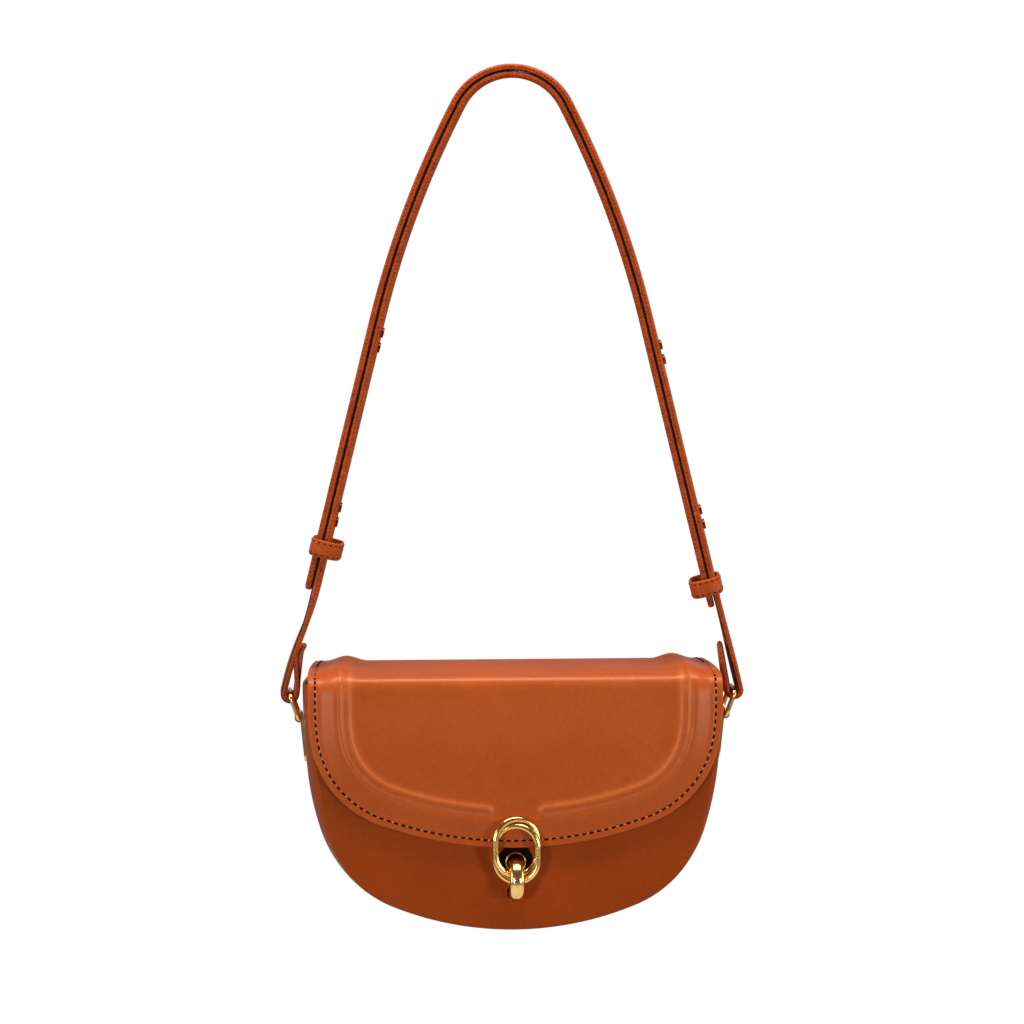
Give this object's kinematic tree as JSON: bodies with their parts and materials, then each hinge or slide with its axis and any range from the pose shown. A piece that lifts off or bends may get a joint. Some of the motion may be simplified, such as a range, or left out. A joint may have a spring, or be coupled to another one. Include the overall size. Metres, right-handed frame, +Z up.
{
  "type": "saddle handbag",
  "caption": "Half-moon shoulder bag in smooth tan leather with a padded fold-over flap, interlinked ring clasp, looped strap on rings and sliding keepers.",
  "frame": {"origin": "middle of the inner face of the strap at its highest point, where the bag hangs from a hook or shoulder", "axes": "+Z up, the flap and clasp face -Y, +X to the viewer's right"},
  "size_m": [0.246, 0.0809, 0.4569],
  "materials": {
    "strap_leather": "smooth calf leather with painted edges",
    "bag_leather": "smooth semi-gloss calf leather",
    "lining_cloth": "matt black cloth",
    "board": "pressed fibre board",
    "padding": "soft felt",
    "gold": "polished pale gold",
    "dark_metal": "dark bronze"
  },
  "bodies": {
    "strap": {"strap_inner": "strap_leather", "strap_outer": "strap_leather", "left_studs": "dark_metal", "right_studs": "dark_metal", "left_spacers": "strap_leather", "right_spacers": "strap_leather"},
    "strap_ends": {"left_strap_loop": "strap_leather", "right_strap_loop": "strap_leather"},
    "left_ring": {"left_ring": "gold"},
    "bag": {"front_panel": "bag_leather", "back_panel": "bag_leather", "gusset": "bag_leather", "front_board": "board", "back_board": "board", "base_board": "board", "lining": "lining_cloth", "left_plate": "gold", "right_plate": "gold", "left_plate_rivets": "gold", "right_plate_rivets": "gold", "left_backing_plate": "dark_metal", "right_backing_plate": "dark_metal", "clasp_ferrule": "gold", "clasp_seat": "bag_leather", "clasp_magnet": "dark_metal", "magnet_washer": "dark_metal", "flap_root": "bag_leather"},
    "right_ring": {"right_ring": "gold"},
    "flap_top": {"flap_top": "bag_leather", "flap_top_lining": "lining_cloth"},
    "flap_front": {"flap_front": "bag_leather", "flap_padding": "padding", "flap_front_lining": "lining_cloth", "clasp_ring_upper": "gold", "clasp_ring_lower": "gold", "clasp_link": "gold", "clasp_posts": "gold", "clasp_back_plate": "dark_metal"},
    "left_keeper": {"left_keeper": "strap_leather"},
    "right_keeper": {"right_keeper": "strap_leather"}
  },
  "joints": [
    {"name": "left_keeper_slide", "type": "slide", "parent": "strap", "child": "left_keeper", "axis": [0.238, 0, 0.9713], "range_m": [-0.01, 0.025]},
    {"name": "right_keeper_slide", "type": "slide", "parent": "strap", "child": "right_keeper", "axis": [-0.238, 0, 0.9713], "range_m": [-0.006, 0.02]},
    {"name": "bag_swing", "type": "hinge", "parent": "strap", "child": "strap_ends", "pos_m": [0, 0, -0.32402], "axis": [1, 0, 0], "range_deg": [-15, 45]},
    {"name": "bag_sway", "type": "hinge", "parent": "strap_ends", "child": "left_ring", "pos_m": [-0.11807, 0, -0.32402], "axis": [0, 1, 0], "range_deg": [-5, 5]},
    {"name": "left_plate_hinge", "type": "hinge", "parent": "left_ring", "child": "bag", "pos_m": [-0.11342, 0, -0.3368], "axis": [0, 1, 0], "range_deg": [-5.3, 5.3]},
    {"name": "right_plate_hinge", "type": "hinge", "parent": "bag", "child": "right_ring", "pos_m": [0.11342, 0, -0.3368], "axis": [0, 1, 0], "range_deg": [-5.3, 5.3]},
    {"name": "flap_lift", "type": "hinge", "parent": "bag", "child": "flap_top", "pos_m": [0, 0.03007, -0.31343], "axis": [-1, 0, 0], "range_deg": [0, 25]},
    {"name": "flap_fold", "type": "hinge", "parent": "flap_top", "child": "flap_front", "pos_m": [0, -0.03199, -0.31401], "axis": [-1, 0, 0], "range_deg": [0, 130]}
  ],
  "couplings": [
    {"joint": "left_plate_hinge", "follows": "bag_sway", "ratio": -1.041},
    {"joint": "right_plate_hinge", "follows": "bag_sway", "ratio": 1.041}
  ]
}
